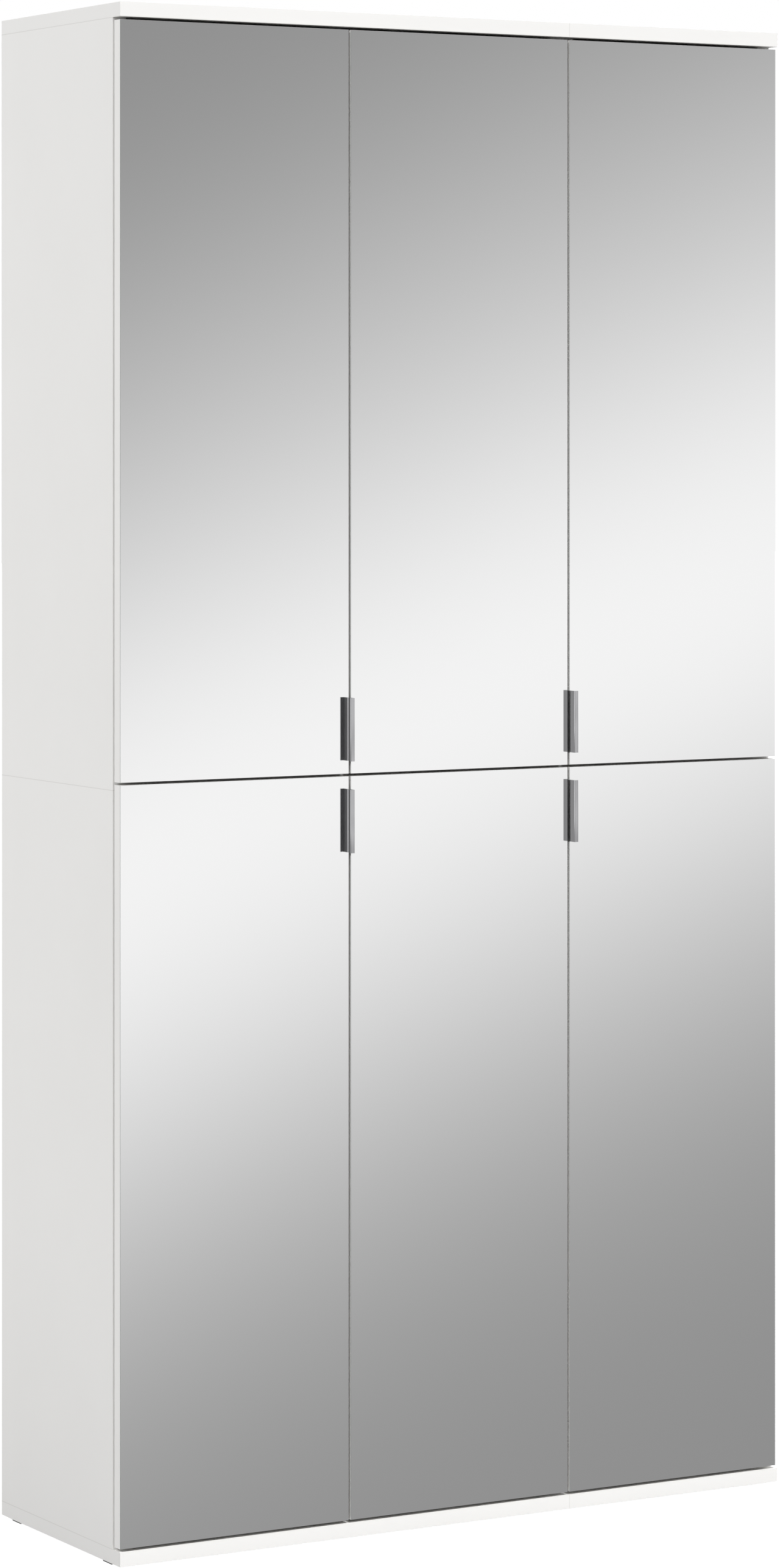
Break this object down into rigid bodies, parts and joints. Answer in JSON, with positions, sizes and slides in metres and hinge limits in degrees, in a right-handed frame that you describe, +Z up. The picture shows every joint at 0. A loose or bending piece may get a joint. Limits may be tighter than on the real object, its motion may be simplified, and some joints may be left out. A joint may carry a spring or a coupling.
{
  "type": "armoire",
  "caption": "Tall shallow white armoire: mirrored hinged doors over shelved compartments in a double and a single carcass, with small chrome edge handles and floor glides.",
  "frame": {"origin": "on the floor, under the middle of the overall outline, handles included", "axes": "+X to the right seen from the front, +Y to the back, +Z up; the doors face -Y"},
  "size_m": [0.98, 0.352, 1.935],
  "materials": {
    "white_laminate": "chipboard with white melamine faces and edge bands",
    "door_laminate": "chipboard with white melamine faces and edge bands",
    "back_board": "white coated fibreboard",
    "mirror": "clear silvered mirror sheet",
    "handle_metal": "polished chrome",
    "hinge_metal": "nickel-plated steel",
    "fittings_metal": "zinc-plated steel",
    "dowel_wood": "bare beech",
    "glide_plastic": "black moulded plastic",
    "buffer_plastic": "soft translucent plastic"
  },
  "bodies": {
    "carcass": {"cam_fittings": "fittings_metal", "door_buffers": "buffer_plastic", "double_back_panel": "back_board", "double_bottom_board": "white_laminate", "double_hinge_arms": "hinge_metal", "double_lower_left_side": "white_laminate", "double_lower_right_side": "white_laminate", "double_lower_shelf_1": "white_laminate", "double_lower_shelf_2": "white_laminate", "double_middle_shelf": "white_laminate", "double_top_board": "white_laminate", "double_upper_left_side": "white_laminate", "double_upper_right_side": "white_laminate", "double_upper_shelf_1": "white_laminate", "double_upper_shelf_2": "white_laminate", "floor_glides": "glide_plastic", "joining_dowels": "dowel_wood", "shelf_pins": "fittings_metal", "single_back_panel": "back_board", "single_bottom_board": "white_laminate", "single_hinge_arms": "hinge_metal", "single_lower_left_side": "white_laminate", "single_lower_right_side": "white_laminate", "single_lower_shelf_1": "white_laminate", "single_lower_shelf_2": "white_laminate", "single_middle_shelf": "white_laminate", "single_top_board": "white_laminate", "single_upper_left_side": "white_laminate", "single_upper_right_side": "white_laminate", "single_upper_shelf_1": "white_laminate", "single_upper_shelf_2": "white_laminate", "unit_connectors": "fittings_metal"},
    "left_lower_door": {"left_lower_door": "door_laminate", "left_lower_door_screws": "fittings_metal", "left_lower_handle": "handle_metal", "left_lower_hinge_cups": "hinge_metal", "left_lower_mirror": "mirror"},
    "left_upper_door": {"left_upper_door": "door_laminate", "left_upper_door_screws": "fittings_metal", "left_upper_handle": "handle_metal", "left_upper_hinge_cups": "hinge_metal", "left_upper_mirror": "mirror"},
    "middle_lower_door": {"middle_lower_door": "door_laminate", "middle_lower_door_screws": "fittings_metal", "middle_lower_hinge_cups": "hinge_metal", "middle_lower_mirror": "mirror"},
    "middle_upper_door": {"middle_upper_door": "door_laminate", "middle_upper_door_screws": "fittings_metal", "middle_upper_hinge_cups": "hinge_metal", "middle_upper_mirror": "mirror"},
    "right_lower_door": {"right_lower_door": "door_laminate", "right_lower_door_screws": "fittings_metal", "right_lower_handle": "handle_metal", "right_lower_hinge_cups": "hinge_metal", "right_lower_mirror": "mirror"},
    "right_upper_door": {"right_upper_door": "door_laminate", "right_upper_door_screws": "fittings_metal", "right_upper_handle": "handle_metal", "right_upper_hinge_cups": "hinge_metal", "right_upper_mirror": "mirror"}
  },
  "joints": [
    {"name": "left_lower_door_hinge", "type": "hinge", "parent": "carcass", "child": "left_lower_door", "pos_m": [-0.48, -0.15745, 0.49773], "axis": [0, 0, -1], "range_deg": [0, 95]},
    {"name": "left_upper_door_hinge", "type": "hinge", "parent": "carcass", "child": "left_upper_door", "pos_m": [-0.48, -0.15745, 1.44247], "axis": [0, 0, -1], "range_deg": [0, 95]},
    {"name": "middle_lower_door_hinge", "type": "hinge", "parent": "carcass", "child": "middle_lower_door", "pos_m": [0.15007, -0.15745, 0.49773], "axis": [0, 0, 1], "range_deg": [0, 95]},
    {"name": "middle_upper_door_hinge", "type": "hinge", "parent": "carcass", "child": "middle_upper_door", "pos_m": [0.15007, -0.15745, 1.44247], "axis": [0, 0, 1], "range_deg": [0, 95]},
    {"name": "right_lower_door_hinge", "type": "hinge", "parent": "carcass", "child": "right_lower_door", "pos_m": [0.47673, -0.15745, 0.49773], "axis": [0, 0, 1], "range_deg": [0, 95]},
    {"name": "right_upper_door_hinge", "type": "hinge", "parent": "carcass", "child": "right_upper_door", "pos_m": [0.47673, -0.15745, 1.44247], "axis": [0, 0, 1], "range_deg": [0, 95]}
  ]
}
